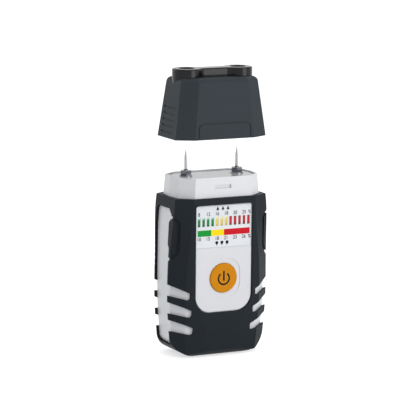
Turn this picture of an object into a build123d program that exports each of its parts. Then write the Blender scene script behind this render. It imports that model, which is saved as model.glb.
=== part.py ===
"""Wood moisture meter: a hand-held body in a soft grip sleeve, with two needle pins on
its head, a row of twelve lights, one round button and a push-on cap.

Millimetres. Z is up, the front faces -Y, and the origin is the middle of the foot.
The cap is drawn as it is when taken off, hanging over the pins.
"""

from build123d import *
import os

os.makedirs("parts", exist_ok=True)

# Body, outside of the grip sleeve
shoulder_z = 82.4
shoulder_half_w = 25.6
shoulder_side = 11.0
shoulder_front_half = 17.9
front_depth = 15.8
waist_z = 62.0
waist_half_w = 27.0
waist_side = 9.8
belly_z = 36.0
belly_half_w = 28.0
belly_side = 8.1
hem_z = 10.0
hem_half_w = 26.6
hem_side = 7.8
foot_half_x = 10.0
foot_half_y = 6.5
foot_reach_x = 16.7
foot_rise_x = 11.0
foot_rise_y = 9.0

# Skins and walls
skin = 1.4
lip = 1.2
wall = 1.5
fit = 0.05

# Head above the shoulder
head_h = 10.2
head_half_w = 23.05
head_side = 8.5
head_front_half = 16.0
head_depth = 14.05
head_peak = 0.9
head_taper = 0.8
rim_w = 1.1
rim_drop = 0.5
plate_t = 1.6
catch_w = 9.2
catch_h = 1.8
catch_d = 0.5
catch_z = 87.8

# Front window of the sleeve and the fields in it
window_half_w = 16.1
window_top = 78.9
window_bottom = 23.4
window_top_r = 1.3
window_bottom_r = 8.8
field_split_z = 56.9
key_field_y = 15.05
label_y = 14.85
label_t = 0.2
field_margin = 0.5

# Side windows and claw slots of the sleeve
side_top = 77.0
side_bottom = 6.5
side_half = 7.2
side_pad_half = 5.9
side_crown_half = 8.4
pad_top_z = 71.6
pad_bottom_z = 57.6
slot_count = 3
slot_pitch = 9.15
slot_top_z = 32.6
slot_tip_x = 18.3
slot_step_x = 1.1
slot_tip_h = 3.9
slot_mouth_h = 6.2
slot_rise = 3.0
groove_w = 1.3
groove_d = 0.7
notch_count = 10
notch_pitch = 2.95
notch_top_z = 67.6
notch_d = 0.9

# Lights
light_pitch = 2.54
light_w = 2.0
light_h = 5.0
light_l = 7.0
light_gap_w = 1.5
light_gap_h = 4.6
light_z = 70.3
light_counts = {"green_lights": 4, "yellow_lights": 3, "red_lights": 5}

# Button and switch
button_r = 7.6
button_z = 41.0
button_proud = 0.45
button_gap = 0.15
button_flange = 1.0
button_travel = 0.6
dimple_w = 18.8
dimple_h = 20.4
dimple_d = 0.3
switch_w = 6.0
switch_h = 3.5
plunger_r = 1.7

# Circuit board and the screws of board and housing
board_y = 6.6
board_t = 1.6
board_half_w = 18.3
board_bottom = 20.0
board_top = 79.0
board_screw_x = 15.6
board_screw_low_z = 24.0
board_screw_high_z = 57.0
board_screw_r = 0.9
case_screw_low_x = 11.0
case_screw_low_z = 14.5
case_screw_high_x = 21.4
case_screw_high_z = 74.0
case_screw_r = 1.1
screw_seat_y = 8.0
post_r = 2.6

# Pins
pin_x = 14.5
pin_r = 0.8
pin_thread_r = 1.2
pin_tip_z = 106.2
pin_point_l = 4.2
nut_af = 5.2
nut_h = 2.4
bush_r = 2.4
bush_flange_r = 3.3
bush_flange_h = 0.6

# Batteries
cell_r = 5.25
cell_l = 44.5
cell_nub_r = 1.9
cell_nub_h = 1.0
cell_gap = 0.4
bay_bottom = 26.4
bay_wall = 1.2
door_t = 1.6
door_margin = 1.2
door_gap = 0.1
contact_t = 0.4
contact_w = 8.0
spring_h = 4.5
spring_wire = 0.3
spring_turns = 3

# Cap, at the place where it hangs in the picture
cap_lift = 29.8
cap_h = 30.5
cap_half_w = 25.5
cap_side = 10.5
cap_front_half = 16.7
cap_depth = 15.2
cap_top_half_w = 21.4
cap_top_side = 8.3
cap_top_front_half = 13.5
cap_top_depth = 12.9
cap_wall = 0.9
cap_edge_r = 3.0
cap_roof = 5.4
bridge_r = 7.4
bridge_waist = 3.9
bridge_h = 4.4
bridge_seat = 3.0
bridge_neck_r = 5.0
socket_r = 4.3
socket_d = 1.2
socket_hole_r = 2.6
socket_hole_d = 2.8
rib_count = 5
rib_pitch = 3.12
rib_top_z = 127.7

head_top = shoulder_z + head_h
plate_top = head_top - rim_drop
plate_bottom = plate_top - plate_t
cap_z = shoulder_z + cap_lift
cap_top = cap_z + cap_h
inner_y = front_depth - skin - wall
door_inner_y = key_field_y - door_t
cell_x = cell_r + cell_gap / 2
cell_y = door_inner_y - cell_gap - cell_r
bay_top = bay_bottom + 2 * contact_t + spring_h + cell_l
bay_half_w = cell_x + cell_r + cell_gap
bay_floor_y = cell_y - cell_r - cell_gap


def mirrored(quarter, peak=None):
    """Whole outline from its front right quarter, going round to the left"""
    middle = [peak] if peak else []
    right = [(x, -y) for x, y in quarter] + middle + [(x, y) for x, y in reversed(quarter)]
    return right + [(-x, y) for x, y in reversed(right)]


def plan(quarter, peak=None, inset=0):
    """Face of a level plan, moved inwards by inset"""
    Polygon(*mirrored(quarter, peak), align=None)
    if inset:
        offset(amount=-inset, kind=Kind.INTERSECTION)


# Level plans of the body from the foot to the shoulder: height, then half width and half
# depth at the edge of the flat front, at the front chamfer edge and at the side edge
stations = [
    (0, (7.0, 13.6), (19.6, 12.2), (hem_half_w - 0.6, hem_side)),
    (hem_z, (8.0, 14.6), (20.2, 12.9), (hem_half_w, hem_side)),
    (22, (12.5, 15.5), (20.7, 13.9), (27.6, 8.0)),
    (belly_z, (16.2, front_depth), (20.9, 14.6), (belly_half_w, belly_side)),
    (waist_z, (16.2, front_depth), (19.0, 15.3), (waist_half_w, waist_side)),
    (shoulder_z, (16.2, front_depth), (shoulder_front_half, 15.5), (shoulder_half_w, shoulder_side)),
]


def rounded_foot(half_flat, reach, rise, inset):
    """Upright profile with a flat foot and a quarter ellipse at each lower corner"""
    tall = 2 * shoulder_z
    with Locations((0, inset)):
        Rectangle(2 * half_flat, tall, align=(Align.CENTER, Align.MIN))
    with Locations((-half_flat, rise), (half_flat, rise)):
        Ellipse(reach - inset, rise - inset)
    with Locations((0, rise)):
        Rectangle(3 * belly_half_w, tall, align=(Align.CENTER, Align.MIN))


def body_form(inset, top=shoulder_z):
    """Outer form of the meter up to a height, moved inwards by inset"""
    with BuildPart() as form:
        for z, *quarter in stations:
            with BuildSketch(Plane.XY.offset(z)):
                plan(quarter, inset=inset)
        loft()
        with BuildSketch(Plane.XZ):
            rounded_foot(foot_half_x, foot_reach_x, foot_rise_x, inset)
        extrude(amount=2 * front_depth, both=True, mode=Mode.INTERSECT)
        with BuildSketch(Plane.YZ):
            rounded_foot(foot_half_y, front_depth - foot_half_y, foot_rise_y, inset)
        extrude(amount=2 * belly_half_w, both=True, mode=Mode.INTERSECT)
        if top < shoulder_z:
            split(bisect_by=Plane.XY.offset(top), keep=Keep.BOTTOM)
    return form.part


def head_plan(shrink, inset=0):
    """Level plan of the head: two chamfers each side and a shallow peak between them"""
    quarter = [
        (head_front_half - shrink, head_depth - shrink),
        (head_half_w - shrink, head_side - shrink / 2),
    ]
    plan(quarter, (head_half_w + head_peak - shrink, 0), inset)


def head_form(grow=0):
    """The head from just under the lip of the sleeve to its top, grown by grow"""
    with BuildPart() as form:
        for z, shrink in ((shoulder_z - 2 * lip, 0), (shoulder_z, 0), (head_top, head_taper)):
            with BuildSketch(Plane.XY.offset(z)):
                head_plan(shrink, -grow)
        loft(ruled=True)
    return form.part


def window_face(shrink):
    """Outline of the front and back windows: small corners above, large ones below"""
    height = window_top - window_bottom - 2 * shrink
    with Locations((0, window_bottom + shrink)):
        Rectangle(2 * (window_half_w - shrink), height, align=(Align.CENTER, Align.MIN))
    fillet(vertices().group_by(Axis.Y)[0], window_bottom_r - shrink)
    fillet(vertices().group_by(Axis.Y)[-1], window_top_r)


def cap_plan(part, inset=0):
    """Level plan of the cap, at a share of the way from its mouth to its top"""
    mouth = [(cap_front_half, cap_depth), (cap_half_w, cap_side)]
    top = [(cap_top_front_half, cap_top_depth), (cap_top_half_w, cap_top_side)]
    quarter = [
        (a + (c - a) * part, b + (d - b) * part) for (a, b), (c, d) in zip(mouth, top)
    ]
    plan(quarter, inset=inset)


def cap_form(inset, reach, round_r=0):
    """Tapered cap body over a share of its height, moved inwards by inset"""
    with BuildPart() as form:
        for part in (0, reach):
            with BuildSketch(Plane.XY.offset(cap_z + cap_h * part)):
                cap_plan(part, inset)
        loft(ruled=True)
        if round_r:
            fillet(form.edges().group_by(Axis.Z)[-1], round_r)
    return form.part


def bone_face(grow):
    """Two round ends over the pins, joined by a narrow waist"""
    with Locations((-pin_x, 0), (pin_x, 0)):
        Circle(bridge_r + grow)
    Rectangle(2 * pin_x, 2 * (bridge_waist + grow))
    necks = vertices().filter_by(lambda v: abs(v.X) < pin_x and abs(v.Y) > grow + 1)
    fillet(necks, bridge_neck_r - grow)


def slot_outline(tip_x, tip_z):
    """Claw slot that opens towards the side and rises to its mouth"""
    mouth_x = belly_half_w + 2
    low = tip_z - slot_tip_h / 2
    high = tip_z + slot_tip_h / 2
    return [
        (tip_x, low + 0.6),
        (tip_x + 1.2, low),
        (mouth_x, tip_z + slot_rise / 2 - 1),
        (mouth_x, tip_z + slot_rise / 2 - 1 + slot_mouth_h),
        (tip_x + 4, high + 1.4),
        (tip_x, high - 0.5),
    ]


def light_places():
    """Middle of each light in the row, by the node that it belongs to"""
    total = sum(light_counts.values())
    first = 0
    for name, count in light_counts.items():
        yield name, [
            ((first + i - (total - 1) / 2) * light_pitch, light_z) for i in range(count)
        ]
        first += count


slots = [
    slot_outline(slot_tip_x - i * slot_step_x, slot_top_z - i * slot_pitch)
    for i in range(slot_count)
]
case_screws_at = [
    (side * x, z)
    for x, z in ((case_screw_low_x, case_screw_low_z), (case_screw_high_x, case_screw_high_z))
    for side in (-1, 1)
]
board_screws_at = [
    (side * board_screw_x, z) for z in (board_screw_low_z, board_screw_high_z) for side in (-1, 1)
]
lights = dict(light_places())
all_lights = [place for places in lights.values() for place in places]
seam_z = shoulder_z - lip

# The angular groove on each upper front chamfer, as deep as groove_d below the surface
with BuildPart() as chamfer_grooves:
    with BuildSketch(Plane.XZ.offset(side_half)):
        with BuildLine():
            Polyline((27.6, 74.0), (23.8, 70.6), (24.2, 55.4), (27.8, 50.8))
        trace(line_width=groove_w)
        mirror(about=Plane.YZ)
    extrude(amount=front_depth)
    add(body_form(groove_d), mode=Mode.SUBTRACT)

# Grip sleeve: the soft outside, open at the front and back windows, along both sides
# and at the claw slots
with BuildPart() as grip_sleeve:
    add(body_form(0))
    add(body_form(skin - fit, seam_z), mode=Mode.SUBTRACT)
    add(head_form(fit), mode=Mode.SUBTRACT)
    with BuildSketch(Plane.XZ):
        window_face(0)
        for slot in slots:
            Polygon(*slot, align=None)
            Polygon(*[(-x, z) for x, z in slot], align=None)
    extrude(amount=2 * front_depth, both=True, mode=Mode.SUBTRACT)
    with BuildSketch(Plane.YZ) as side_window:
        Polygon(
            (-side_crown_half + 3, side_top),
            (-side_crown_half, side_top - 3),
            (-side_crown_half, pad_top_z + 1),
            (-side_pad_half, pad_top_z - 1.6),
            (-side_pad_half, pad_bottom_z + 1.2),
            (-side_half, pad_bottom_z - 0.6),
            (-side_half, side_bottom),
            (side_half, side_bottom),
            (side_half, belly_z + 4),
            (side_crown_half + 0.9, waist_z),
            (side_crown_half + 0.9, side_top - 2),
            (side_crown_half - 0.8, side_top),
            align=None,
        )
        rear_low = side_window.vertices().group_by(Axis.Y)[0].sort_by(Axis.X)[-1]
        fillet(rear_low, 3.0)
        for i in range(notch_count):
            share = i * notch_pitch / (waist_z - belly_z)
            edge = side_crown_half + 0.9 - (side_crown_half + 0.9 - side_half) * min(share, 1)
            with Locations((edge, notch_top_z - i * notch_pitch)):
                Rectangle(2 * notch_d, 1.2)
    extrude(amount=2 * belly_half_w, both=True, mode=Mode.SUBTRACT)
    add(chamfer_grooves.part, mode=Mode.SUBTRACT)
grip_sleeve.part.label = "grip_sleeve"

# Both halves of the white housing in one: body, head and the raised fields that fill the
# windows of the sleeve, with the hollow for the works and the seat of the top plate
with BuildPart() as case:
    add(body_form(skin, seam_z - fit))
    add(head_form())
    with BuildSketch(Plane.XZ.offset(inner_y + 0.3)):
        window_face(field_margin)
    extrude(amount=key_field_y - inner_y - 0.3)
    with BuildSketch(Plane.XZ.offset(label_y - label_t)):
        with Locations((0, field_split_z)):
            Rectangle(2 * window_half_w, shoulder_z, align=(Align.CENTER, Align.MIN))
    extrude(amount=front_depth, mode=Mode.SUBTRACT)
    with BuildSketch(Plane.XZ.offset(-key_field_y)):
        window_face(field_margin)
    extrude(amount=key_field_y - inner_y - 0.3)
    add(body_form(skin + wall, seam_z - wall), mode=Mode.SUBTRACT)
    with BuildSketch(Plane.XY.offset(seam_z - wall - 0.1)):
        head_plan(head_taper, rim_w + wall)
    extrude(amount=plate_bottom - seam_z + wall + 0.2, mode=Mode.SUBTRACT)
    with BuildSketch(Plane.XY.offset(plate_bottom)):
        head_plan(head_taper, rim_w)
    extrude(amount=plate_t + 2 * rim_drop, mode=Mode.SUBTRACT)

# Columns from the front and the back wall that meet at the parting line
with BuildPart() as posts:
    with BuildSketch(Plane.XZ):
        with Locations(*case_screws_at):
            Circle(post_r)
    extrude(amount=inner_y + 0.5, both=True)
    add(body_form(skin + 0.5, seam_z), mode=Mode.INTERSECT)

# Posts on the front wall that the circuit board is screwed to
with BuildPart() as board_posts:
    with BuildSketch(Plane.XZ.offset(board_y)):
        with Locations(*board_screws_at):
            Circle(post_r - 0.4)
    extrude(amount=inner_y)
    add(body_form(skin + 0.5, seam_z), mode=Mode.INTERSECT)

# Front housing: light slots, button hole with its shallow dimple, board posts and catch
with BuildPart() as front_housing:
    add(case.part)
    add(posts.part)
    split(bisect_by=Plane.XZ, keep=Keep.TOP)
    add(board_posts.part)
    with BuildSketch(Plane.XZ.offset(key_field_y - dimple_d)):
        with Locations((0, button_z)):
            RectangleRounded(dimple_w, dimple_h, 7.5)
    extrude(amount=2 * dimple_d, mode=Mode.SUBTRACT)
    with BuildSketch(Plane.XZ.offset(inner_y - 1)):
        with Locations((0, button_z)):
            Circle(button_r + button_gap)
        with Locations(*all_lights):
            Rectangle(light_w + 2 * fit, light_h + 2 * fit)
    extrude(amount=4, mode=Mode.SUBTRACT)
    with BuildSketch(Plane.XZ):
        with Locations(*case_screws_at):
            Circle(case_screw_r)
    extrude(amount=6.5, mode=Mode.SUBTRACT)
    with BuildSketch(Plane.XZ.offset(board_y)):
        with Locations(*board_screws_at):
            Circle(board_screw_r)
    extrude(amount=5, mode=Mode.SUBTRACT)
    with BuildSketch(Plane.XZ.offset(head_depth - head_taper - catch_d)):
        with Locations((0, catch_z)):
            Rectangle(catch_w, catch_h)
    extrude(amount=2, mode=Mode.SUBTRACT)
front_housing.part.label = "front_housing"

# Rear housing: battery bay behind its door opening, and counterbored screw columns
with BuildPart() as rear_housing:
    add(case.part)
    add(posts.part)
    split(bisect_by=Plane.XZ, keep=Keep.BOTTOM)
    with BuildSketch(Plane.XZ.offset(-bay_floor_y + bay_wall)):
        with Locations((0, (bay_bottom + bay_top) / 2)):
            bay_h = bay_top - bay_bottom
            Rectangle(2 * (bay_half_w + bay_wall), bay_h + 2 * bay_wall)
    extrude(amount=-(door_inner_y - bay_floor_y + bay_wall))
    with BuildSketch(Plane.XZ.offset(-bay_floor_y)):
        with Locations((0, (bay_bottom + bay_top) / 2)):
            Rectangle(2 * bay_half_w, bay_top - bay_bottom)
    extrude(amount=-key_field_y, mode=Mode.SUBTRACT)
    with BuildSketch(Plane.XZ.offset(-door_inner_y)):
        window_face(door_margin)
    extrude(amount=-2 * door_t, mode=Mode.SUBTRACT)
    with BuildSketch(Plane.XZ):
        with Locations(*case_screws_at):
            Circle(case_screw_r + fit)
    extrude(amount=-screw_seat_y, mode=Mode.SUBTRACT)
    with BuildSketch(Plane.XZ.offset(-screw_seat_y)):
        with Locations(*case_screws_at):
            Circle(2 * case_screw_r)
    extrude(amount=-front_depth, mode=Mode.SUBTRACT)
rear_housing.part.label = "rear_housing"

# Battery door: plate flush with the back field, a locating rim inside and a finger dip
with BuildPart() as battery_door:
    with BuildSketch(Plane.XZ.offset(-door_inner_y)):
        window_face(door_margin + door_gap)
    extrude(amount=-door_t)
    with BuildSketch(Plane.XZ.offset(-door_inner_y)):
        with Locations((0, (bay_bottom + bay_top) / 2)):
            rim = Rectangle(2 * (bay_half_w - 2 * door_gap), bay_top - bay_bottom - 4 * door_gap)
            offset(rim, amount=-0.8, kind=Kind.INTERSECTION, mode=Mode.SUBTRACT)
    extrude(amount=0.8)
    with BuildSketch(Plane.XZ.offset(-key_field_y + 0.6)):
        with Locations((0, window_top - 8)):
            SlotOverall(14, 5)
    extrude(amount=-1, mode=Mode.SUBTRACT)
battery_door.part.label = "battery_door"

# Scale label: printed film with a small window over each light
with BuildPart() as scale_label:
    with BuildSketch(Plane.XZ.offset(label_y - label_t)):
        label_top = window_top - field_margin - 0.1
        with Locations((0, (field_split_z + 0.1 + label_top) / 2)):
            Rectangle(2 * (window_half_w - field_margin - 0.1), label_top - field_split_z - 0.1)
        with Locations(*all_lights):
            Rectangle(light_gap_w, light_gap_h, mode=Mode.SUBTRACT)
    extrude(amount=label_t)
scale_label.part.label = "scale_label"


def light_row(places):
    """A row of flat-topped lamps on two legs each, standing on the circuit board"""
    with BuildPart() as row:
        top_y = label_y - label_t - fit
        with BuildSketch(Plane.XZ.offset(top_y - light_l)):
            with Locations(*places):
                Rectangle(light_w, light_h)
        extrude(amount=light_l)
        with BuildSketch(Plane.XZ.offset(board_y)):
            with Locations(*places):
                with Locations((0, -light_pitch / 2), (0, light_pitch / 2)):
                    Rectangle(0.5, 0.5)
        extrude(amount=top_y - light_l - board_y)
    return row.part


# Power button: domed disc with a skirt, a flange behind the housing wall and a middle
# post that stands on the plunger of the switch
plunger_top_y = board_y + switch_h + 0.8
button_top_y = key_field_y + button_proud
button_under_y = inner_y - 2 * fit
with BuildPart() as power_button:
    with BuildSketch(Plane.XZ.offset(button_under_y - button_flange)):
        with Locations((0, button_z)):
            Circle(button_r + button_flange)
    extrude(amount=button_flange)
    with BuildSketch(Plane.XZ.offset(button_under_y)):
        with Locations((0, button_z)):
            Circle(button_r)
    extrude(amount=button_top_y - button_under_y)
    fillet(power_button.edges().group_by(Axis.Y)[0], 0.6)
    with BuildSketch(Plane.XZ.offset(button_under_y - button_flange)):
        with Locations((0, button_z)):
            Circle(button_r - 1.2)
    extrude(amount=button_top_y - button_under_y + button_flange - 1.8, mode=Mode.SUBTRACT)
    with BuildSketch(Plane.XZ.offset(plunger_top_y + fit)):
        with Locations((0, button_z)):
            Circle(plunger_r + 0.4)
    extrude(amount=button_top_y - plunger_top_y - 1)
power_button.part.label = "power_button"

# Switch under the button: square body on the board, and its round plunger
with BuildPart() as switch_body:
    with BuildSketch(Plane.XZ.offset(board_y)):
        with Locations((0, button_z)):
            Rectangle(switch_w, switch_w)
    extrude(amount=switch_h)
    with BuildSketch(Plane.XZ.offset(board_y + 1)):
        with Locations((0, button_z)):
            Circle(plunger_r + fit)
    extrude(amount=switch_h, mode=Mode.SUBTRACT)
switch_body.part.label = "switch_body"

with BuildPart() as switch_plunger:
    with BuildSketch(Plane.XZ.offset(board_y + 1 + button_travel + fit)):
        with Locations((0, button_z)):
            Circle(plunger_r)
    extrude(amount=plunger_top_y - board_y - 1 - button_travel - fit)
switch_plunger.part.label = "switch_plunger"

# Circuit board with its screw holes, and what is soldered to its back
with BuildPart() as circuit_board:
    with BuildSketch(Plane.XZ.offset(board_y - board_t)):
        with Locations((0, (board_bottom + board_top) / 2)):
            RectangleRounded(2 * board_half_w, board_top - board_bottom, 1.5)
        with Locations(*board_screws_at):
            Circle(board_screw_r + fit, mode=Mode.SUBTRACT)
    extrude(amount=board_t)
circuit_board.part.label = "circuit_board"

board_back_y = board_y - board_t


def on_board(width, height, thick, places):
    """Flat parts of one size on the back of the board"""
    with BuildPart() as parts:
        with BuildSketch(Plane.XZ.offset(board_back_y)):
            with Locations(*places):
                Rectangle(width, height)
        extrude(amount=-thick)
    return parts.part


chip = on_board(6.0, 10.0, 1.6, [(0, 50)])
resistors = on_board(1.3, 2.1, 0.6, [(x, light_z - 7.5) for x, z in all_lights])
capacitors = on_board(2.6, 3.4, 1.4, [(-9.5, 52), (-9.5, 46), (9.5, 49)])

with BuildPart() as board_screws:
    with BuildSketch(Plane.XZ.offset(board_back_y)):
        with Locations(*board_screws_at):
            Circle(2 * board_screw_r)
    extrude(amount=-1.2)
    with BuildSketch(Plane.XZ.offset(board_back_y)):
        with Locations(*board_screws_at):
            Circle(board_screw_r - fit)
    extrude(amount=5.5)
board_screws.part.label = "board_screws"

with BuildPart() as housing_screws:
    with BuildSketch(Plane.XZ.offset(-screw_seat_y)):
        with Locations(*case_screws_at):
            Circle(2 * case_screw_r - 2 * fit)
    extrude(amount=-1.5)
    with BuildSketch(Plane.XZ.offset(-screw_seat_y)):
        with Locations(*case_screws_at):
            Circle(case_screw_r - fit)
    extrude(amount=screw_seat_y + 6)
housing_screws.part.label = "housing_screws"

# Electrode plate: the top of the head, sunk in its rim, with a collar round each bush
with BuildPart() as electrode_plate:
    with BuildSketch(Plane.XY.offset(plate_bottom)):
        head_plan(head_taper, rim_w + fit)
    extrude(amount=plate_t)
    with BuildSketch(Plane.XY.offset(plate_bottom)):
        with Locations((-pin_x, 0), (pin_x, 0)):
            Circle(bush_r + 1.4)
    extrude(amount=-4)
    with BuildSketch(Plane.XY.offset(plate_top)):
        with Locations((-pin_x, 0), (pin_x, 0)):
            Circle(bush_r + fit)
    extrude(amount=-10, mode=Mode.SUBTRACT)
electrode_plate.part.label = "electrode_plate"

bush_l = 8.0
bush_bottom = plate_top - bush_l
nut_z = plate_top + bush_flange_h


def pin_bush(x):
    """Threaded brass bush with a flange on top of the electrode plate"""
    with BuildPart() as bush:
        with BuildSketch(Plane.XY.offset(bush_bottom)):
            with Locations((x, 0)):
                Circle(bush_r)
        extrude(amount=bush_l)
        with BuildSketch(Plane.XY.offset(plate_top)):
            with Locations((x, 0)):
                Circle(bush_flange_r)
        extrude(amount=bush_flange_h)
        with BuildSketch(Plane.XY.offset(nut_z)):
            with Locations((x, 0)):
                Circle(pin_thread_r + fit)
        extrude(amount=-bush_l + 1, mode=Mode.SUBTRACT)
    return bush.part


def needle(x):
    """Steel needle: a thicker foot in the bush and nut, then a slim shank and a point"""
    foot = nut_z - bush_l + 1.2
    profile = [
        (0, foot),
        (pin_thread_r, foot),
        (pin_thread_r, nut_z + nut_h + 0.3),
        (pin_r, nut_z + nut_h + 0.7),
        (pin_r, pin_tip_z - pin_point_l),
        (0.06, pin_tip_z),
        (0, pin_tip_z),
    ]
    with BuildPart() as pin:
        with BuildSketch(Plane.XZ):
            Polygon(*[(x + r, z) for r, z in profile], align=None)
        revolve(axis=Axis((x, 0, 0), (0, 0, 1)))
    return pin.part


def hex_nut(x):
    """Hex nut that clamps the needle, with bevelled corners"""
    with BuildPart() as nut:
        with BuildSketch(Plane.XY.offset(nut_z)):
            with Locations((x, 0)):
                RegularPolygon(nut_af / 2, 6, major_radius=False, rotation=10)
        extrude(amount=nut_h)
        with BuildSketch(Plane.XY.offset(nut_z)):
            with Locations((x, 0)):
                Circle(nut_af / 2 / 0.866)
        extrude(amount=nut_h, mode=Mode.INTERSECT)
        with BuildSketch(Plane.XY.offset(nut_z)):
            with Locations((x, 0)):
                Circle(pin_thread_r + fit)
        extrude(amount=nut_h, mode=Mode.SUBTRACT)
    return nut.part


def pin_lead(x):
    """Brass strip under the bush, bent down onto the back of the board"""
    with BuildPart() as lead:
        with BuildSketch(Plane.YZ.offset(x)):
            with BuildLine():
                Polyline(
                    (bush_r, bush_bottom - 0.2),
                    (-board_back_y + 0.2, bush_bottom - 0.2),
                    (-board_back_y + 0.2, board_top - 4),
                )
            trace(line_width=0.4)
        extrude(amount=1.5, both=True)
    return lead.part


def cell(x, up):
    """AAA cell with its nub up or down"""
    low = bay_bottom + contact_t + (spring_h if up else cell_nub_h)
    body = cell_l - cell_nub_h
    with BuildPart() as battery:
        with BuildSketch(Plane.XY.offset(low)):
            with Locations((x, cell_y)):
                Circle(cell_r)
        extrude(amount=body)
        with BuildSketch(Plane.XY.offset(low + body if up else low)):
            with Locations((x, cell_y)):
                Circle(cell_nub_r)
        extrude(amount=cell_nub_h if up else -cell_nub_h)
    return battery.part


# Bridge contact across the lower ends of the cells, and one contact above each cell
with BuildPart() as battery_contacts:
    with BuildSketch(Plane.XY.offset(bay_bottom)):
        with Locations((0, cell_y)):
            Rectangle(2 * cell_x + contact_w, contact_w)
    extrude(amount=contact_t)
    with BuildSketch(Plane.XY.offset(bay_top)):
        with Locations((-cell_x, cell_y), (cell_x, cell_y)):
            Rectangle(contact_w, contact_w)
    extrude(amount=-contact_t)
battery_contacts.part.label = "battery_contacts"


def coil_spring(x, low):
    """Cone spring that presses on the flat end of a cell"""
    height = spring_h - 4 * spring_wire
    with BuildPart() as spring:
        with BuildLine(Plane.XY.offset(low + 2 * spring_wire)) as coil:
            Helix(height / spring_turns, height, 3.0, center=(x, cell_y, 0), cone_angle=8)
        with BuildSketch(Plane(origin=coil.line @ 0, z_dir=coil.line % 0)):
            Circle(spring_wire)
        sweep(is_frenet=True)
    return spring.part


springs = [
    coil_spring(-cell_x, bay_bottom + contact_t),
    coil_spring(cell_x, bay_top - contact_t - spring_h),
]

# Cap: tapered shell with rounded shoulders, a pocket for the bridge, an arch line on its
# front and grip lines on its sides
cap_reach = (cap_h - cap_roof) / cap_h
line_d = 0.35
with BuildPart() as cap_lines:
    with BuildSketch(Plane.XZ):
        with BuildLine():
            FilletPolyline(
                (-14.5, cap_z - 1),
                (-14.5, cap_z + 8),
                (14.5, cap_z + 8),
                (14.5, cap_z - 1),
                radius=2.8,
            )
        trace(line_width=0.7)
    extrude(amount=2 * cap_depth)
    with BuildSketch(Plane.YZ):
        for i in range(rib_count):
            with Locations((0.6, rib_top_z - i * rib_pitch)):
                SlotOverall(13, 1.1)
    extrude(amount=2 * cap_half_w, both=True)
    add(cap_form(line_d, 1), mode=Mode.SUBTRACT)

with BuildPart() as cap_shell:
    add(cap_form(0, 1, cap_edge_r))
    add(cap_form(cap_wall, cap_reach), mode=Mode.SUBTRACT)
    with BuildSketch(Plane.XY.offset(cap_top - bridge_seat)):
        bone_face(fit)
    extrude(amount=2 * bridge_seat, mode=Mode.SUBTRACT)
    add(cap_lines.part, mode=Mode.SUBTRACT)
cap_shell.part.label = "cap_shell"

# Bridge on the cap: bone-shaped, with a dished socket over each pin for the self-test
bridge_top = cap_top + bridge_h
bridge_low = cap_top - bridge_seat
socket_floor = bridge_top - socket_d - socket_hole_d
with BuildPart() as cap_bridge:
    with BuildSketch(Plane.XY.offset(bridge_low)):
        bone_face(0)
    extrude(amount=bridge_seat + bridge_h)
    fillet(cap_bridge.edges().group_by(Axis.Z)[-1], 0.9)
    with BuildSketch(Plane.XY.offset(bridge_top)):
        with Locations((-pin_x, 0), (pin_x, 0)):
            Circle(socket_r)
    extrude(amount=-socket_d, taper=20, mode=Mode.SUBTRACT)
    with BuildSketch(Plane.XY.offset(bridge_top)):
        with Locations((-pin_x, 0), (pin_x, 0)):
            Circle(socket_hole_r)
    extrude(amount=-socket_d - socket_hole_d, mode=Mode.SUBTRACT)
    with BuildSketch(Plane.XY.offset(bridge_low)):
        Rectangle(2 * pin_x - 2, 2.4)
    extrude(amount=2.0, mode=Mode.SUBTRACT)
cap_bridge.part.label = "cap_bridge"

with BuildPart() as test_contacts:
    with BuildSketch(Plane.XY.offset(socket_floor)):
        with Locations((-pin_x, 0), (pin_x, 0)):
            Circle(socket_hole_r - fit)
    extrude(amount=0.5)
test_contacts.part.label = "test_contacts"

with BuildPart() as test_resistor:
    with BuildSketch(Plane.YZ):
        with Locations((0, bridge_low + 1)):
            Circle(0.8)
    extrude(amount=3, both=True)
    with BuildSketch(Plane.YZ):
        with Locations((0, bridge_low + 1)):
            Circle(0.3)
    extrude(amount=pin_x - 1.2, both=True)
test_resistor.part.label = "test_resistor"

pieces = {
    "left_pin": needle(-pin_x),
    "right_pin": needle(pin_x),
    "left_pin_nut": hex_nut(-pin_x),
    "right_pin_nut": hex_nut(pin_x),
    "left_pin_bush": pin_bush(-pin_x),
    "right_pin_bush": pin_bush(pin_x),
    "left_battery": cell(-cell_x, True),
    "right_battery": cell(cell_x, False),
    "control_chip": chip,
    "series_resistors": resistors,
    "capacitors": capacitors,
    "pin_leads": Compound(children=[pin_lead(-pin_x), pin_lead(pin_x)]),
    "battery_springs": Compound(children=springs),
}
for name, places in lights.items():
    pieces[name] = light_row(places)
for name, piece in pieces.items():
    piece.label = name
made = [
    grip_sleeve, front_housing, rear_housing, battery_door, scale_label, power_button,
    switch_body, switch_plunger, circuit_board, board_screws, housing_screws,
    electrode_plate, battery_contacts, cap_shell, cap_bridge, test_contacts, test_resistor,
]
for piece in [builder.part for builder in made] + list(pieces.values()):
    export_step(piece, f"parts/{piece.label}.step")
    box = piece.bounding_box()
    print(piece.label, len(piece.solids()), round(piece.volume, 1), piece.is_valid)
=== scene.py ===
from math import cos, pi, radians, sin

import bmesh
import bpy
from mathutils import Matrix, Vector


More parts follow.
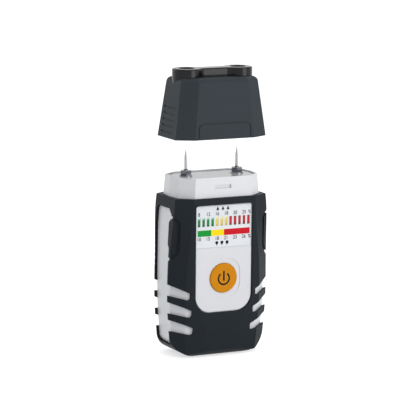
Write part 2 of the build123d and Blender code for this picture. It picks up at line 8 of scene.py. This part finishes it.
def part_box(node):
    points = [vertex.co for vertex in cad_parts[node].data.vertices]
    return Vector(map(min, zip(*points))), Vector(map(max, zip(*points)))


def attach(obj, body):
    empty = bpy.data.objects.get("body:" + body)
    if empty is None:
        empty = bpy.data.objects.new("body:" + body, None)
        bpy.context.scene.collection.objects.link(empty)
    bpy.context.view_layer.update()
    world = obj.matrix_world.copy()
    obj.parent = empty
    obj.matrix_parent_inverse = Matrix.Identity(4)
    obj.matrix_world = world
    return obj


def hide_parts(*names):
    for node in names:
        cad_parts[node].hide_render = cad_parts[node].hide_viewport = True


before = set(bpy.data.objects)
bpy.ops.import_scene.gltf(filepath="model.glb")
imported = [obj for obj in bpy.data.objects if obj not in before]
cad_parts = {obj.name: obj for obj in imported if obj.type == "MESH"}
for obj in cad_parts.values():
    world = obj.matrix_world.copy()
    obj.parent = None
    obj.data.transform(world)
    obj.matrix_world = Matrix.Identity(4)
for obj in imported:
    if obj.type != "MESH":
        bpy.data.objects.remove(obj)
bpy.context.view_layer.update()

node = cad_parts
mm = 0.001

# Front and rear housing: two white ABS shells that meet on a line round the head and down
# the sides. They are moulded with a fine satin grain, and four screws hold them together.


def grain_group():
    """Moulded grain: a fine height, a broad mottle and a scuff mask, from object space"""
    tree = bpy.data.node_groups.new("moulded grain", "ShaderNodeTree")
    face = tree.interface
    face.new_socket("Vector", in_out="INPUT", socket_type="NodeSocketVector")
    for name, value in (("Grains per metre", 9000), ("Blotches per metre", 60)):
        socket = face.new_socket(name, in_out="INPUT", socket_type="NodeSocketFloat")
        socket.default_value = value
    for name in ("Height", "Mottle", "Scuff"):
        face.new_socket(name, in_out="OUTPUT", socket_type="NodeSocketFloat")
    n, link = tree.nodes, tree.links.new
    inside, outside = n.new("NodeGroupInput"), n.new("NodeGroupOutput")
    fine = n.new("ShaderNodeTexNoise")
    fine.inputs["Detail"].default_value = 1.5
    broad = n.new("ShaderNodeTexNoise")
    broad.inputs["Detail"].default_value = 3
    scuff = n.new("ShaderNodeTexNoise")
    scuff.inputs["Detail"].default_value = 6
    scuff.inputs["Roughness"].default_value = 0.7
    stretch = n.new("ShaderNodeMath")
    stretch.operation = "MULTIPLY"
    stretch.inputs[1].default_value = 7
    sharpen = n.new("ShaderNodeMapRange")
    sharpen.inputs["From Min"].default_value = 0.56
    sharpen.inputs["From Max"].default_value = 0.72
    for noise in (fine, broad, scuff):
        link(inside.outputs["Vector"], noise.inputs["Vector"])
    link(inside.outputs["Grains per metre"], fine.inputs["Scale"])
    link(inside.outputs["Blotches per metre"], broad.inputs["Scale"])
    link(inside.outputs["Blotches per metre"], stretch.inputs[0])
    link(stretch.outputs[0], scuff.inputs["Scale"])
    link(scuff.outputs["Fac"], sharpen.inputs["Value"])
    link(fine.outputs["Fac"], outside.inputs["Height"])
    link(broad.outputs["Fac"], outside.inputs["Mottle"])
    link(sharpen.outputs["Result"], outside.inputs["Scuff"])
    return tree


moulded_grain = grain_group()


def rgb(red, green, blue):
    """Scene colour of an 8-bit display colour"""
    parts = [c / 255 for c in (red, green, blue)]
    return (*[p / 12.92 if p < 0.0404 else ((p + 0.055) / 1.055) ** 2.4 for p in parts], 1)


def finish(name, colour, rough, spread=0.05, tone=0.94, grains=9000, depth=0.02, **sockets):
    """Principled material: a colour that drifts a little, grain as bump and roughness"""
    made = bpy.data.materials.new(name)
    made.use_nodes = True
    n, link = made.node_tree.nodes, made.node_tree.links.new
    shader = n["Principled BSDF"]
    place = n.new("ShaderNodeTexCoord")
    grain = n.new("ShaderNodeGroup")
    grain.node_tree = moulded_grain
    grain.inputs["Grains per metre"].default_value = grains
    blend = n.new("ShaderNodeMix")
    blend.data_type = "RGBA"
    blend.inputs["A"].default_value = colour
    blend.inputs["B"].default_value = (*[c * tone for c in colour[:3]], 1)
    gloss = n.new("ShaderNodeMapRange")
    gloss.inputs["To Min"].default_value = rough - spread
    gloss.inputs["To Max"].default_value = rough + spread
    bump = n.new("ShaderNodeBump")
    bump.inputs["Strength"].default_value = 1
    bump.inputs["Distance"].default_value = depth * mm
    link(place.outputs["Object"], grain.inputs["Vector"])
    link(grain.outputs["Mottle"], blend.inputs["Factor"])
    link(blend.outputs["Result"], shader.inputs["Base Color"])
    link(grain.outputs["Scuff"], gloss.inputs["Value"])
    link(gloss.outputs["Result"], shader.inputs["Roughness"])
    link(grain.outputs["Height"], bump.inputs["Height"])
    link(bump.outputs["Normal"], shader.inputs["Normal"])
    for socket, value in sockets.items():
        shader.inputs[socket.replace("_", " ")].default_value = value
    return made


def dress(piece, material):
    """One finish on the whole of a piece"""
    piece.data.materials.clear()
    piece.data.materials.append(material)


def moulded(name, material, round_r=0.25, crease=17, body="meter"):
    """Copy of a CAD node as one welded skin: smooth where it curves, and with its edges
    rounded as a mould leaves them. It stands for the node"""
    mesh = node[name].data.copy()
    mesh.name = name + "_skin"
    work = bmesh.new()
    work.from_mesh(mesh)
    bmesh.ops.remove_doubles(work, verts=work.verts, dist=0.003 * mm)
    bmesh.ops.dissolve_degenerate(work, edges=work.edges, dist=0.004 * mm)
    bmesh.ops.dissolve_limit(work, angle_limit=radians(0.2), verts=work.verts, edges=work.edges)
    sharp = [e for e in work.edges if e.calc_face_angle(0) > radians(crease)]
    if round_r:
        bmesh.ops.bevel(work, geom=sharp, offset=round_r * mm, segments=2, profile=0.5,
                        affect="EDGES", clamp_overlap=True, loop_slide=True)
    for face in work.faces:
        face.smooth = True
    for edge in work.edges:
        edge.smooth = edge.calc_face_angle(0) < radians(crease + 16)
    work.to_mesh(mesh)
    work.free()
    for layer in ("custom_normal", "sharp_face"):
        if layer in mesh.attributes:
            mesh.attributes.remove(mesh.attributes[layer])
    piece = bpy.data.objects.new(name + "_skin", mesh)
    bpy.context.scene.collection.objects.link(piece)
    level = piece.modifiers.new("level faces", "WEIGHTED_NORMAL")
    level.keep_sharp = True
    dress(piece, material)
    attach(piece, body)
    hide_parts(name)
    return piece


white_abs = finish("white housing ABS", rgb(217, 218, 222), 0.36, tone=0.97)
for name in ("front_housing", "rear_housing"):
    moulded(name, white_abs, 0.4)

# Battery door: a flat white lid in the back with a finger dip at its top
back_abs = finish("white door ABS", rgb(214, 215, 219), 0.45, tone=0.97)
dress(node["battery_door"], back_abs)

# Circuit board: green solder mask over glass fibre, with the chip, capacitors and
# resistors soldered to its back
mask_green = finish("green solder mask", rgb(24, 92, 52), 0.35, depth=0.01)
dress(node["circuit_board"], mask_green)
epoxy_black = finish("black moulded epoxy", rgb(34, 34, 36), 0.5)
for name in ("control_chip", "series_resistors", "switch_body", "switch_plunger"):
    dress(node[name], epoxy_black)
ceramic = finish("tan ceramic", rgb(170, 140, 100), 0.5)
for name in ("capacitors", "test_resistor"):
    dress(node[name], ceramic)

# Batteries: two cells in a printed wrap, between sprung steel contacts
wrap_blue = finish("blue cell wrap", rgb(40, 70, 120), 0.3, depth=0.005)
for name in ("left_battery", "right_battery"):
    dress(node[name], wrap_blue)
bright_steel = finish("bright spring steel", rgb(190, 190, 188), 0.28, depth=0.004, Metallic=1)
for name in ("battery_contacts", "battery_springs", "board_screws", "housing_screws"):
    dress(node[name], bright_steel)

# Lights: twelve rectangular lamps of tinted clear epoxy, four green, three yellow and
# five red, that stand on the board and end just behind the label
lamp_pitch = 2.54 * mm


def epoxy(name, low, middle, high, rim):
    """Tinted clear epoxy with painted light: painted shade low down, a painted highlight high up
    where the top colour is lighter, and lighter at its rim
    """
    made = finish(name, middle, 0.14, depth=0.001, Specular_IOR_Level=0.35)
    n, link = made.node_tree.nodes, made.node_tree.links.new
    place = n["Texture Coordinate"]
    split = n.new("ShaderNodeSeparateXYZ")
    link(place.outputs["Object"], split.inputs["Vector"])
    # Height ramp of painted light: painted shade at the bottom of each lamp, the tint in the
    # middle, and the top colour above, a painted highlight in the green and yellow lamps
    rise = n.new("ShaderNodeMapRange")
    rise.inputs["From Min"].default_value = 68.0 * mm
    rise.inputs["From Max"].default_value = 72.6 * mm
    link(split.outputs["Z"], rise.inputs["Value"])
    ramp = n.new("ShaderNodeValToRGB")
    ramp.color_ramp.elements[0].color = low
    ramp.color_ramp.elements[1].color = high
    ramp.color_ramp.elements[1].position = 0.95
    for position in (0.3, 0.7):
        ramp.color_ramp.elements.new(position).color = middle
    link(rise.outputs["Result"], ramp.inputs["Fac"])
    across = n.new("ShaderNodeMath")
    across.operation = "PINGPONG"
    across.inputs[1].default_value = lamp_pitch / 2
    link(split.outputs["X"], across.inputs[0])
    edge = n.new("ShaderNodeMapRange")
    edge.inputs["From Min"].default_value = 0.78 * mm
    edge.inputs["From Max"].default_value = 0.56 * mm
    edge.inputs["To Max"].default_value = 0.75
    link(across.outputs[0], edge.inputs["Value"])
    blend = n.new("ShaderNodeMix")
    blend.data_type = "RGBA"
    link(edge.outputs["Result"], blend.inputs["Factor"])
    link(ramp.outputs["Color"], blend.inputs["A"])
    blend.inputs["B"].default_value = rim
    link(blend.outputs["Result"], n["Principled BSDF"].inputs["Base Color"])
    return made


# Per colour: painted shade at the bottom, the tint, the top colour (a painted highlight in green
# and yellow), and the rim colour
lamp_tints = {
    "green": (rgb(0, 75, 35), rgb(10, 120, 60), rgb(185, 235, 215), rgb(90, 195, 140)),
    "yellow": (rgb(190, 165, 30), rgb(226, 206, 84), rgb(250, 245, 190), rgb(240, 230, 150)),
    "red": (rgb(60, 0, 8), rgb(185, 16, 34), rgb(150, 0, 18), rgb(215, 50, 70)),
}
for colour_name, tints in lamp_tints.items():
    dress(node[colour_name + "_lights"], epoxy(f"tinted {colour_name} epoxy", *tints))

# Scale label: a printed film stuck into the upper part of the front window
label_film = finish("printed label film", rgb(223, 226, 230), 0.35, tone=0.98, depth=0.004)
dress(node["scale_label"], label_film)
print_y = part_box("scale_label")[0].y


def ink(name, colour):
    """Printing ink: flat colour, slightly glossier than the film"""
    return finish(name, colour, 0.3, depth=0.002, tone=0.97, Specular_IOR_Level=0.15)


film_t = 0.02


def patch_mesh(name, outline, front, thick=film_t):
    """Thin slab behind a closed outline in millimetres, its face at front minus thick"""
    count = len(outline)
    back = [(x * mm, front + 0.01 * mm, z * mm) for x, z in outline]
    face = [(x * mm, front - thick * mm, z * mm) for x, z in outline]
    walls = [(i, (i + 1) % count, count + (i + 1) % count, count + i) for i in range(count)]
    ends = [tuple(range(count - 1, -1, -1)), tuple(range(count, 2 * count))]
    mesh = bpy.data.meshes.new(name)
    mesh.from_pydata(back + face, [], ends + walls)
    mesh.validate()
    return mesh


def printed(name, mesh, material, body="meter"):
    """Piece of print that moves with a body"""
    piece = bpy.data.objects.new(name, mesh)
    bpy.context.scene.collection.objects.link(piece)
    dress(piece, material)
    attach(piece, body)
    return piece


bar_parts = [
    ("green_bar", -14.76, -7.1, rgb(0, 150, 52)),
    ("yellow_bar", -7.1, 0.1, rgb(252, 222, 10)),
    ("red_bar", 0.1, 14.76, rgb(205, 0, 24)),
]
for name, left, right, colour in bar_parts:
    corners = [(left, 63.05), (right, 63.05), (right, 66.15), (left, 66.15)]
    bar_ink = ink(name.replace("_", " ") + " ink", colour)
    printed(name, patch_mesh(name, corners, print_y), bar_ink)

dark_ink = ink("dark print ink", rgb(26, 28, 34))
first_figure_x = -13.97
figure_pitch = 5.08
percent_x = 14.56
figure_rows = [
    ("upper", 74.25, "8 12 16 18 20 25 %"),
    ("lower", 61.65, "10 15 18 21 23 26 %"),
]
for row_name, row_z, values in figure_rows:
    for i, value in enumerate(values.split()):
        curve = bpy.data.curves.new("figure", "FONT")
        curve.body = value
        curve.size = 2.6 * mm
        curve.align_x = "CENTER"
        curve.align_y = "CENTER"
        curve.extrude = 0.012 * mm
        curve.offset = 0.035 * mm
        draft = bpy.data.objects.new("figure", curve)
        bpy.context.scene.collection.objects.link(draft)
        bpy.context.view_layer.update()
        graph = bpy.context.evaluated_depsgraph_get()
        mesh = bpy.data.meshes.new_from_object(draft.evaluated_get(graph))
        bpy.data.objects.remove(draft)
        x = first_figure_x + i * figure_pitch if value != "%" else percent_x
        place = Matrix.Translation((x * mm, print_y - film_t / 2 * mm, row_z * mm))
        narrow = Matrix.Diagonal((0.88, 1, 1, 1))
        mesh.transform(place @ Matrix.Rotation(pi / 2, 4, "X") @ narrow)
        name = f"figure_{row_name}_{i + 1}"
        printed(name, mesh, dark_ink)

# Wood signs: three small conifers over the scale and three broad trees under it, printed
# where such scales say which kind of wood each row of figures is for
conifer = [
    (0, 1.1), (0.8, -0.5), (0.18, -0.5), (0.18, -1.0), (-0.18, -1.0), (-0.18, -0.5), (-0.8, -0.5),
]
crown_r = 0.78
crown_turns = [radians(-70 + i * 20) for i in range(17)]
crown = [(crown_r * cos(a), 0.3 + crown_r * sin(a)) for a in crown_turns]
broad_tree = [(0.18, -1.0), *crown, (-0.18, -1.0)]


def row_tree():
    """Geometry Nodes: copies of a piece along a row in x"""
    tree = bpy.data.node_groups.new("row of signs", "GeometryNodeTree")
    face = tree.interface
    face.new_socket("Sign", in_out="INPUT", socket_type="NodeSocketGeometry")
    keys = {}
    for name, kind in (("Pitch", "Float"), ("Count", "Int"), ("Ink", "Material")):
        socket = face.new_socket(name, in_out="INPUT", socket_type="NodeSocket" + kind)
        keys[name] = socket.identifier
    face.new_socket("Row", in_out="OUTPUT", socket_type="NodeSocketGeometry")
    n, link = tree.nodes, tree.links.new
    inside, outside = n.new("NodeGroupInput"), n.new("NodeGroupOutput")
    step = n.new("ShaderNodeCombineXYZ")
    line = n.new("GeometryNodeMeshLine")
    copies = n.new("GeometryNodeInstanceOnPoints")
    real = n.new("GeometryNodeRealizeInstances")
    paint = n.new("GeometryNodeSetMaterial")
    link(inside.outputs["Pitch"], step.inputs["X"])
    link(step.outputs["Vector"], line.inputs["Offset"])
    link(inside.outputs["Count"], line.inputs["Count"])
    link(line.outputs["Mesh"], copies.inputs["Points"])
    link(inside.outputs["Sign"], copies.inputs["Instance"])
    link(copies.outputs["Instances"], real.inputs["Geometry"])
    link(real.outputs["Geometry"], paint.inputs["Geometry"])
    link(inside.outputs["Ink"], paint.inputs["Material"])
    link(paint.outputs["Geometry"], outside.inputs["Row"])
    return tree, keys


sign_row, row_keys = row_tree()
sign_pitch = 2.9
sign_scale = 1.1
sign_rows = [
    ("conifer", conifer, -0.6, 76.85),
    ("broad_tree", broad_tree, -1.0, 59.1),
]
for sign, outline, row_x, row_z in sign_rows:
    first_x = row_x - sign_pitch
    first = [(first_x + sign_scale * x, row_z + sign_scale * z) for x, z in outline]
    draft = bpy.data.objects.new(sign, patch_mesh(sign, first, print_y))
    bpy.context.scene.collection.objects.link(draft)
    row = draft.modifiers.new("row", "NODES")
    row.node_group = sign_row
    row[row_keys["Pitch"]] = sign_pitch * mm
    row[row_keys["Count"]] = 3
    row[row_keys["Ink"]] = dark_ink
    bpy.context.view_layer.update()
    graph = bpy.context.evaluated_depsgraph_get()
    mesh = bpy.data.meshes.new_from_object(draft.evaluated_get(graph))
    bpy.data.objects.remove(draft)
    printed(f"{sign}_signs", mesh, dark_ink)

# Power button: an orange disc with its sign printed on, a ring open at its top and a bar
button_orange = finish("orange button plastic", rgb(208, 134, 0), 0.45, tone=0.96,
                       Specular_IOR_Level=0.12)
moulded("power_button", button_orange, 0.1, body="button")
button_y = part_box("power_button")[0].y
sign_ink = ink("near black sign ink", rgb(18, 4, 2))
sign_z = 40.8
ring_gap = 38
ring_steps = 40
ring_turns = [
    radians(90 + ring_gap + i * (360 - 2 * ring_gap) / ring_steps) for i in range(ring_steps + 1)
]


def arc_band(name, outer_r, inner_r, turns, middle_z, front):
    """Flat band between two arcs in millimetres"""
    points = [
        (r * cos(a) * mm, front, (middle_z + r * sin(a)) * mm)
        for r in (outer_r, inner_r)
        for a in turns
    ]
    count = len(turns)
    faces = [(i, count + i, count + i + 1, i + 1) for i in range(count - 1)]
    mesh = bpy.data.meshes.new(name)
    mesh.from_pydata(points, [], faces)
    return mesh


ring = arc_band("power_sign_ring", 3.5, 2.6, ring_turns, sign_z, button_y - 0.015 * mm)
sign_ring = printed("power_sign_ring", ring, sign_ink, "button")
film = sign_ring.modifiers.new("film", "SOLIDIFY")
film.thickness = film_t * mm
film.offset = 0
bar = [(-0.48, 39.6), (0.48, 39.6), (0.48, 44.7), (-0.48, 44.7)]
bar_mesh = patch_mesh("power_sign_bar", bar, button_y, 0.025)
printed("power_sign_bar", bar_mesh, sign_ink, "button")

# Electrode plate: the glossy white top of the head
plate_abs = finish("glossy white plate", rgb(205, 206, 210), 0.12, tone=0.98, depth=0.003)
moulded("electrode_plate", plate_abs, 0.15)

# Pins: polished steel needles, clamped by plated hex nuts on brass bushes
needle_steel = finish("polished needle steel", rgb(158, 160, 163), 0.18, depth=0.002, Metallic=1)
nut_plating = finish("nickel plated nut", rgb(96, 99, 104), 0.2, depth=0.004, Metallic=1)
bush_brass = finish("plated brass", rgb(150, 150, 150), 0.25, depth=0.004, Metallic=1)
for side in ("left", "right"):
    dress(node[side + "_pin"], needle_steel)
    dress(node[side + "_pin_nut"], nut_plating)
    dress(node[side + "_pin_bush"], bush_brass)
for name in ("pin_leads", "test_contacts"):
    dress(node[name], bush_brass)

# Grip sleeve: dark elastomer moulded round the housings, thick enough to round its edges
grip_rubber = finish("dark grip rubber", rgb(38, 43, 48), 0.5, spread=0.06, tone=0.9, depth=0.03,
                     Specular_IOR_Level=0.05)
moulded("grip_sleeve", grip_rubber, 0.3)

# Cap: a hard dark shell with a spark-eroded grain, and a glossy bridge on its top
cap_plastic = finish("grained cap plastic", rgb(56, 62, 67), 0.45, spread=0.06, tone=0.9,
                     grains=2600, depth=0.06, Specular_IOR_Level=0.05)
moulded("cap_shell", cap_plastic, 0.3, body="cap")
bridge_plastic = finish("glossy bridge plastic", rgb(15, 17, 20), 0.2, depth=0.004,
                        Specular_IOR_Level=0.25)
moulded("cap_bridge", bridge_plastic, 0.2, body="cap")

# Studio: a white floor and world, and three broad soft lamps: in front, above and behind
# on the left


def background_rays(tree):
    """Socket that is 1 for camera, gloss and clear rays, and 0 for the rest"""
    n, link = tree.nodes, tree.links.new
    path = n.new("ShaderNodeLightPath")
    either, any_of_them = n.new("ShaderNodeMath"), n.new("ShaderNodeMath")
    either.operation = any_of_them.operation = "MAXIMUM"
    link(path.outputs["Is Camera Ray"], either.inputs[0])
    link(path.outputs["Is Glossy Ray"], either.inputs[1])
    link(either.outputs[0], any_of_them.inputs[0])
    link(path.outputs["Is Transmission Ray"], any_of_them.inputs[1])
    return any_of_them.outputs[0]


world = bpy.data.worlds.new("studio")
bpy.context.scene.world = world
world.use_nodes = True
tree = world.node_tree
background = tree.nodes["Background"]
background.inputs["Color"].default_value = (1, 1, 1, 1)
level = tree.nodes.new("ShaderNodeMapRange")
level.inputs["To Min"].default_value = 0.6
level.inputs["To Max"].default_value = 1.0
tree.links.new(background_rays(tree), level.inputs["Value"])
tree.links.new(level.outputs["Result"], background.inputs["Strength"])

floor_mesh = bpy.data.meshes.new("floor")
reach = 3.0
floor_corners = [(-reach, -reach, 0), (reach, -reach, 0), (reach, reach, 0), (-reach, reach, 0)]
floor_mesh.from_pydata(floor_corners, [], [(0, 1, 2, 3)])
floor = bpy.data.objects.new("floor", floor_mesh)
bpy.context.scene.collection.objects.link(floor)
floor_white = bpy.data.materials.new("white floor")
floor_white.use_nodes = True
tree = floor_white.node_tree
shader = tree.nodes["Principled BSDF"]
shader.inputs["Base Color"].default_value = (0.86, 0.86, 0.86, 1)
shader.inputs["Roughness"].default_value = 0.9
shader.inputs["Emission Color"].default_value = (1, 1, 1, 1)
level = tree.nodes.new("ShaderNodeMath")
level.operation = "MULTIPLY"
level.inputs[1].default_value = 0.6
tree.links.new(background_rays(tree), level.inputs[0])
tree.links.new(level.outputs[0], shader.inputs["Emission Strength"])
floor_mesh.materials.append(floor_white)

middle = Vector((0, 0, 75 * mm))
lamps = [
    ("front_lamp", 30, 12, 0.9, 0.7, 3.6),
    ("top_lamp", 10, 75, 0.9, 0.6, 1.0),
    ("left_lamp", -140, 20, 1.0, 0.6, 1.2),
]
for name, azimuth, height, distance, size, power in lamps:
    lamp = bpy.data.lights.new(name, "AREA")
    lamp.shape = "DISK"
    lamp.size = size
    lamp.energy = power
    holder = bpy.data.objects.new(name, lamp)
    a, e = radians(azimuth), radians(height)
    aim = Vector((sin(a) * cos(e), -cos(a) * cos(e), sin(e)))
    holder.location = middle + aim * distance
    holder.rotation_euler = aim.to_track_quat("Z", "Y").to_euler()
    bpy.context.scene.collection.objects.link(holder)

# Camera: the photograph's angle, from the left and a little above, with a long lens
camera_data = bpy.data.cameras.new("camera")
camera_data.sensor_width = 36
camera_data.lens = 205.7
camera = bpy.data.objects.new("camera", camera_data)
azimuth, height, roll = radians(-26.5), radians(9.64), radians(0.58)
back = Vector((sin(azimuth) * cos(height), -cos(azimuth) * cos(height), sin(height)))
level_right = Vector((cos(azimuth), sin(azimuth), 0))
level_up = back.cross(level_right)
right = level_right * cos(roll) + level_up * sin(roll)
up = level_up * cos(roll) - level_right * sin(roll)
spot = Vector((-0.515, 0, 73.67)) * mm + back * 1227.2 * mm
camera.matrix_world = Matrix.Translation(spot) @ Matrix((right, up, back)).transposed().to_4x4()
bpy.context.scene.collection.objects.link(camera)
bpy.context.scene.camera = camera
bpy.context.scene.view_settings.view_transform = "Standard"
